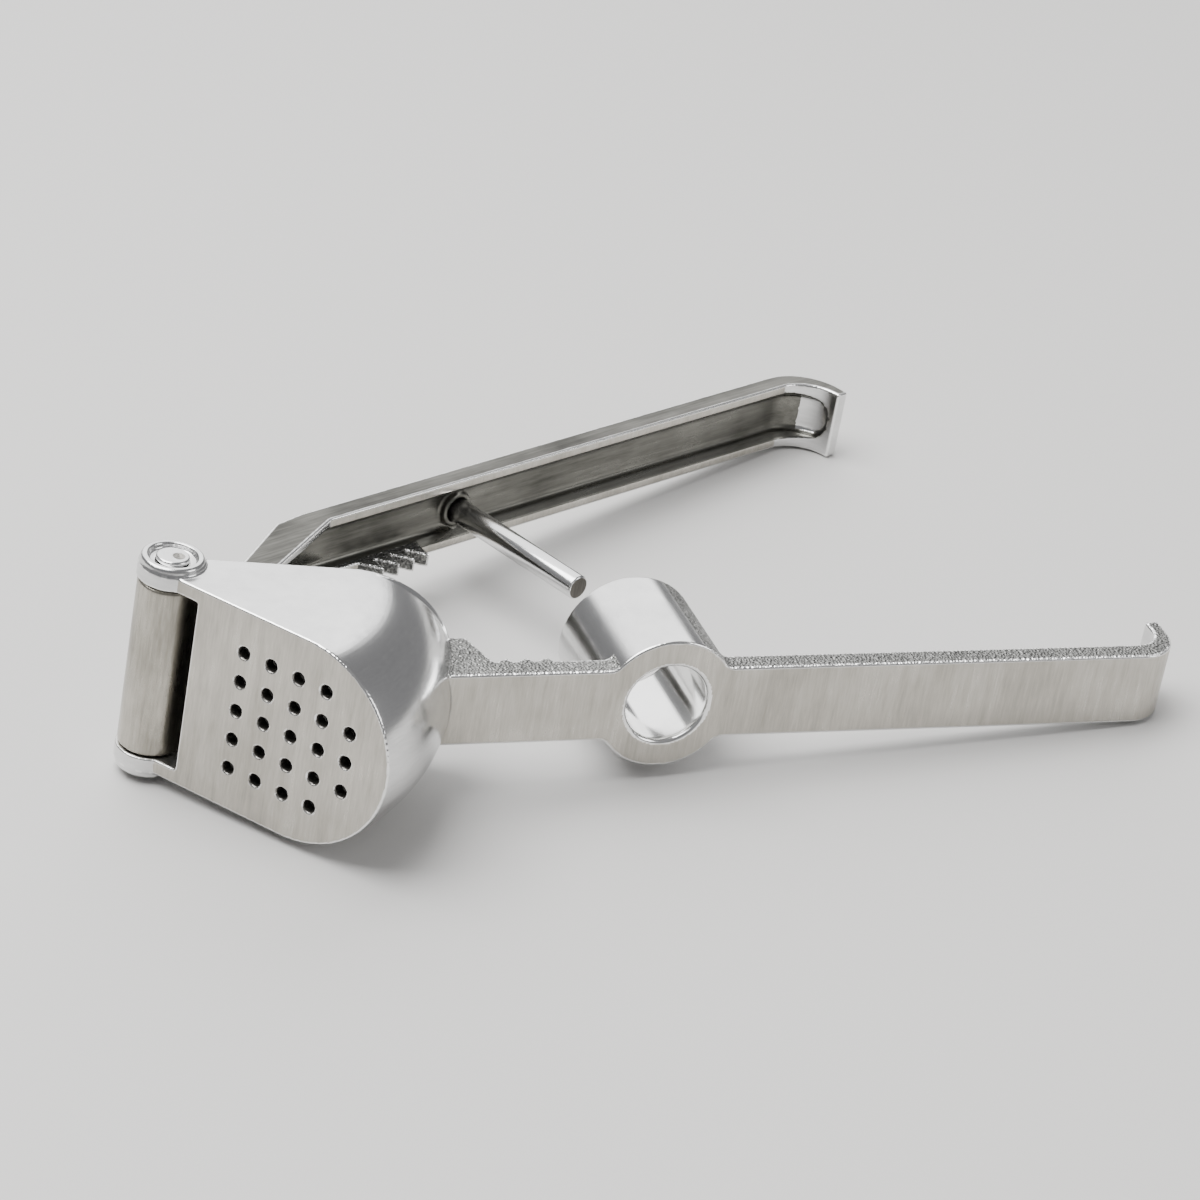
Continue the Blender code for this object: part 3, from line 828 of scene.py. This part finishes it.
RUNNING_GAP = 0.5 * MM
BARREL_RADIUS = 4.65 * MM
UPPER_FACE = 16.2 * MM
UPPER_LENGTH = 149.9 * MM
UPPER_CURL_RADIUS = 8.5 * MM
ARM_SLOPE = math.radians(29)
ARM_BEND_LENGTH = 5.0 * MM
ARM_BEND_START = HEAD_REACH - 8.0 * MM
ARM_NECK = ARM_BEND_START - 14.0 * MM
ARM_FOOT = 2.3 * MM
ARM_SINK = 0.2 * MM
UPPER_TROUGH_TOP = 5.5 * MM
PLUNGER_THICKNESS = 4.0 * MM
PLUNGER_SINK = 1.0 * MM
RIB_REACH = HEAD_REACH - 8.0 * MM
RIB_TOP = HEAD_REACH + 4.0 * MM
SHORT_RIB_TOP = ARM_NECK + 2.0 * MM
UPPER_TEETH_START = HEAD_REACH + 7.7 * MM
UPPER_TEETH = 4
UPPER_TOOTH_HEIGHT = 3.4 * MM
PITTER_PLACE = 70.4 * MM
PITTER_BOSS_RADIUS = 2.9 * MM
PITTER_BOSS_HEIGHT = 1.2 * MM
PITTER_BOSS_ROUNDING = 0.5 * MM
SOCKET_RADIUS = 2.0 * MM
PITTER_SKIN = 0.7 * MM

barrel_half = half_cavity - RUNNING_GAP / 2
BARREL_ROUNDING = 0.4 * MM
barrel = [(-reach, radius) for reach, radius in dome(barrel_half, BARREL_RADIUS, BARREL_ROUNDING)][::-1]
barrel += dome(barrel_half, BARREL_RADIUS, BARREL_ROUNDING)
upper = turned("upper_lever_casting", (0, 0, 0), (0, 0, 1), barrel, satin, segments=128)

plunger_offset = SIEVE_THICKNESS - SIEVE_OFFSET + RUNNING_GAP
plunger = swept_cup("plunger", half_cavity - RUNNING_GAP, HEAD_REACH - HEAD_WALL - RUNNING_GAP,
                    BARREL_RADIUS - PLUNGER_SINK, (SIEVE_ANGLE, plunger_offset),
                    (SIEVE_ANGLE, plunger_offset + PLUNGER_THICKNESS), chamber_metal)

drop = ARM_BEND_LENGTH * math.tan(ARM_SLOPE / 2) / 2
bend_start = (ARM_BEND_START, UPPER_FACE - drop)
bend_end = (ARM_BEND_START + ARM_BEND_LENGTH, UPPER_FACE)
neck_top = (ARM_NECK, bend_start[1] - (ARM_BEND_START - ARM_NECK) * math.tan(ARM_SLOPE))
upper_rim = UPPER_FACE - HANDLE_DEPTH
elbow = (bend_end[0] + HANDLE_DEPTH, upper_rim)
neck = (ARM_NECK + HANDLE_DEPTH, neck_top[1] - HANDLE_DEPTH)
mirrored_curl = [(x, -y) for x, y in reversed(curl(UPPER_LENGTH, UPPER_FACE, UPPER_CURL_RADIUS))]
side_outline = mirrored_curl + [bend_end, bend_start, neck_top, (0, BARREL_RADIUS - ARM_SINK)]
side_outline += [(0, -ARM_FOOT), neck, elbow]
arm = plate("arm", side_outline, -half_handle, half_handle, polished)

straight = curl_path(UPPER_LENGTH, UPPER_FACE, UPPER_CURL_RADIUS, bend_end[0])
path = [neck_top, bend_start] + [(x, -y) for x, y in straight]
upper_trough = trough_cutter("upper_trough", path, -1, UPPER_TROUGH_TOP, trough_metal)
combine(arm, [upper_trough], "DIFFERENCE")

sink = (bend_end[0], UPPER_FACE - WEB / 2)
row = [(x, -y) for x, y in teeth(UPPER_TEETH_START, UPPER_TEETH, -upper_rim, UPPER_TOOTH_HEIGHT)]
plate_end = on_plane(SIEVE_ANGLE, plunger_offset + PLUNGER_THICKNESS / 2, RIB_REACH)
rib = [(0, 0), plate_end, (RIB_TOP, upper_rim)] + row + [(row[-1][0], sink[1]), sink]
rib.append((ARM_NECK, neck_top[1] - WEB / 2))
long_rib = plate("long_rib", rib, -half_handle, TEETH_THICKNESS - half_handle, rough_cast)
short_rib = plate("short_rib", [(0, 0), plate_end, (SHORT_RIB_TOP, neck_top[1] - WEB)],
                  half_handle - TEETH_THICKNESS, half_handle, rough_cast)
combine(upper, [plunger, arm, long_rib, short_rib], "UNION")

foot = [(0, PITTER_BOSS_RADIUS), (WEB / 2, PITTER_BOSS_RADIUS)]
rounded = dome(PITTER_BOSS_HEIGHT, PITTER_BOSS_RADIUS, PITTER_BOSS_ROUNDING)
foot += [(WEB / 2 + reach, radius) for reach, radius in rounded]
pitter_boss = turned("pitter_boss", (PITTER_PLACE, UPPER_FACE - WEB / 2, 0), (0, -1, 0), foot,
                     trough_metal, segments=64)
combine(upper, [pitter_boss], "UNION")
bore = rod("bore", (0, 0, -HEAD_WIDTH), (0, 0, 1), BORE_RADIUS, 2 * HEAD_WIDTH, hole_metal)
socket = rod("socket", (PITTER_PLACE, UPPER_FACE - PITTER_SKIN, 0), (0, -1, 0), SOCKET_RADIUS,
             HANDLE_DEPTH + PAST, hole_metal, segments=48)
combine(upper, [bore, socket], "DIFFERENCE")

# How far down the handle its ground outer side reaches, and how far into the curl's hollow the bright
# polished metal is laid as a painted highlight.
BACK_DEPTH = 7 * MM
BACK_TILT = 0.35
CURL_PAINTED_HIGHLIGHT = 0.42 * UPPER_CURL_RADIUS
HOLLOW_DEPTH = 0.3 * MM


def on_arm_side(centre, normal):
    return abs(normal.z) > FLAT and abs(abs(centre.z) - half_handle) < NEAR


def on_arm_back(centre, normal):
    outside = centre.y > upper_rim - BACK_DEPTH and centre.x > ARM_NECK
    return outside and normal.y > BACK_TILT and abs(normal.z) < LEVEL


def on_arm_rim(centre, normal):
    return normal.y < -FLAT and abs(centre.y - upper_rim) < NEAR and centre.x > ARM_BEND_START


def in_curl_painted_highlight(centre, normal):
    """The far part of the hollow of the curled end, between its rims, where the polished metal is a painted
    highlight.
    """
    past = centre.x - UPPER_LENGTH + UPPER_CURL_RADIUS
    above = centre.y - UPPER_FACE + UPPER_CURL_RADIUS
    inside = abs(math.hypot(past, above) - UPPER_CURL_RADIUS + WEB) < HOLLOW_DEPTH
    between = abs(centre.z) < half_handle - FLANGE + 2 * NEAR
    return inside and between and past > UPPER_CURL_RADIUS - CURL_PAINTED_HIGHLIGHT


# Painted highlight: the far part of the curl's hollow takes the bright polished metal, as if it faced the
# light.
give_finish(upper, polished, in_curl_painted_highlight)
give_finish(upper, side_satin, on_arm_side)
# The handle's outer side and rim take the ground metal, whose warm tone is a painted reflection of a brown
# board.
give_finish(upper, ground_with_painted_reflection, on_arm_back)
give_finish(upper, ground_with_painted_reflection, on_arm_rim)
soften(upper)
place_piece(upper, upper_place, "upper_lever", "cast_aluminium", "upper_lever")


# ---------------------------------------------------------------------------------------------------
# Hinge pin. A drawn steel rivet through both ears and the barrel. Its ends are headed over in the
# recesses of the bosses, and the setting tool leaves a small dimple off the middle.
# ---------------------------------------------------------------------------------------------------

HINGE_PIN_RADIUS = 2.0 * MM
RIVET_HEAD_RADIUS = 2.45 * MM
RIVET_HEAD_HEIGHT = 0.8 * MM
RIVET_HEAD_BEVEL = 0.1 * MM
RIVET_HEAD_ROUNDING = 0.45 * MM
RIVET_CROWN = 0.05 * MM
DIMPLE_PLACE = (0.7 * MM, -0.5 * MM)
DIMPLE_DEPTH = 0.35 * MM
DIMPLE_BOTTOM = 0.35 * MM
DIMPLE_MOUTH = 0.95 * MM
PIN_CREASE = math.radians(50)

steel = brushed_metal("drawn_steel", (2600, 260, 2600), (0.60, 0.60, 0.60), (0.76, 0.76, 0.76),
                      0.12, 0.24, 0.000004)
pin_reach = half_head + BOSS_HEIGHT
shoulder = pin_reach - RIVET_HEAD_HEIGHT
head = [(shoulder, HINGE_PIN_RADIUS), (shoulder, RIVET_HEAD_RADIUS - RIVET_HEAD_BEVEL)]
head += dome(pin_reach - RIVET_CROWN, RIVET_HEAD_RADIUS, RIVET_HEAD_ROUNDING)
head.append((pin_reach, RIVET_HEAD_RADIUS / 2))
profile = [(-reach, radius) for reach, radius in reversed(head)] + head
hinge_pin = turned("hinge_pin_rivet", (0, 0, 0), (0, 0, 1), profile, steel)
dimples = []
for side in (-1, 1):
    place = (*DIMPLE_PLACE, side * (pin_reach - DIMPLE_DEPTH))
    punch = [(0, DIMPLE_BOTTOM), (DIMPLE_DEPTH, DIMPLE_MOUTH), (PAST, DIMPLE_MOUTH)]
    dimples.append(turned("dimple", place, (0, 0, side), punch, hole_metal, segments=40))
combine(hinge_pin, dimples, "DIFFERENCE")
hinge_pin.data.shade_smooth()
hinge_pin.data.set_sharp_from_angle(angle=PIN_CREASE)
place_piece(hinge_pin, lower_place, "lower_lever", "steel", "hinge_pin")


# ---------------------------------------------------------------------------------------------------
# Pitting pin. A short length of drawn steel rod, pressed into the boss in the upper handle. Its free
# end is cut square, with its edge broken, and shows dull saw marks.
# ---------------------------------------------------------------------------------------------------

PITTER_RADIUS = 1.95 * MM
PITTER_REACH = 29.9 * MM
FIXED_GAP = 0.3 * MM
PITTER_LEAD = 0.2 * MM
PITTER_ROUNDING = 0.4 * MM
SAWN_TILT = 0.95

top = UPPER_FACE - PITTER_SKIN - FIXED_GAP
length = PITTER_REACH - PITTER_SKIN - FIXED_GAP
profile = [(0, PITTER_RADIUS - PITTER_LEAD), (PITTER_LEAD, PITTER_RADIUS)]
profile += dome(length, PITTER_RADIUS, PITTER_ROUNDING)
pitting_pin = turned("pitting_pin_rod", (PITTER_PLACE, top, 0), (0, -1, 0), profile, steel, segments=64)
sawn_steel = brushed_metal("sawn_steel", (2600, 2600, 400), (0.06, 0.056, 0.05), (0.15, 0.14, 0.125),
                           0.3, 0.42, 0.00001)
give_finish(pitting_pin, sawn_steel, lambda centre, normal: normal.y < -SAWN_TILT)
pitting_pin.data.shade_smooth()
pitting_pin.data.set_sharp_from_angle(angle=PIN_CREASE)
place_piece(pitting_pin, upper_place, "upper_lever", "steel", "pitting_pin")


# ---------------------------------------------------------------------------------------------------
# Stage: a plain pale floor, a soft studio light and the camera.
# ---------------------------------------------------------------------------------------------------

VIEW_FROM = Vector((-169.5, -535.4, 324.5)) * MM
VIEW_UP = Vector((0.0375, 0.5380, 0.8422))
VIEW_AT = Vector((74.0, 19.0, -3.0)) * MM

eye = bpy.data.cameras.new("camera")
eye.lens = 136
eye.sensor_width = 36
eye.clip_start = 0.01
camera = bpy.data.objects.new("camera", eye)
bpy.context.collection.objects.link(camera)
forward = (VIEW_AT - VIEW_FROM).normalized()
right = forward.cross(VIEW_UP).normalized()
camera_turn = Matrix((right, right.cross(forward), -forward)).transposed().to_4x4()
camera.matrix_world = lower_place @ Matrix.Translation(VIEW_FROM) @ camera_turn
bpy.context.scene.camera = camera

FLOOR_HALF = 3.0
corners = [(x * FLOOR_HALF, y * FLOOR_HALF, 0) for x, y in ((-1, -1), (1, -1), (1, 1), (-1, 1))]
floor_mesh = bpy.data.meshes.new("floor")
floor_mesh.from_pydata(corners, [], [(0, 1, 2, 3)])
floor = bpy.data.objects.new("floor", floor_mesh)
bpy.context.collection.objects.link(floor)
paper = bpy.data.materials.new("pale_floor")
paper.use_nodes = True
paper.node_tree.nodes["Principled BSDF"].inputs["Base Color"].default_value = (0.60, 0.592, 0.58, 1)
paper.node_tree.nodes["Principled BSDF"].inputs["Roughness"].default_value = 0.7
floor_mesh.materials.append(paper)

# The room: dim in front, with a wide bright wall behind the tool that the polished tops mirror.
world = bpy.data.worlds.new("studio")
bpy.context.scene.world = world
world.use_nodes = True
room = world.node_tree
way = room.nodes.new("ShaderNodeTexCoord")
facing = room.nodes.new("ShaderNodeVectorMath")
facing.operation = "DOT_PRODUCT"
facing.inputs[1].default_value = Vector((0.12, 0.84, 0.53)).normalized()
room.links.new(way.outputs["Generated"], facing.inputs[0])
glow = add_colours(room, facing.outputs["Value"], 0.835, 0.875, (0.09, 0.09, 0.092), (1.0, 1.0, 1.0))
room.links.new(glow, room.nodes["Background"].inputs["Color"])
room.nodes["Background"].inputs["Strength"].default_value = 3.0


def soft_light(name, place, target, width, height, power):
    light = bpy.data.lights.new(name, "AREA")
    light.shape = "RECTANGLE"
    light.size = width
    light.size_y = height
    light.energy = power
    lamp = bpy.data.objects.new(name, light)
    bpy.context.collection.objects.link(lamp)
    lamp.location = place
    lamp.rotation_euler = (Vector(target) - Vector(place)).to_track_quat("-Z", "Y").to_euler()


soft_light("top_light", (-0.35, 0.15, 0.9), (0, 0, 0), 0.8, 0.8, 20)
soft_light("side_light", (0.8, -0.5, 0.5), (0, 0, 0), 0.5, 0.5, 3)
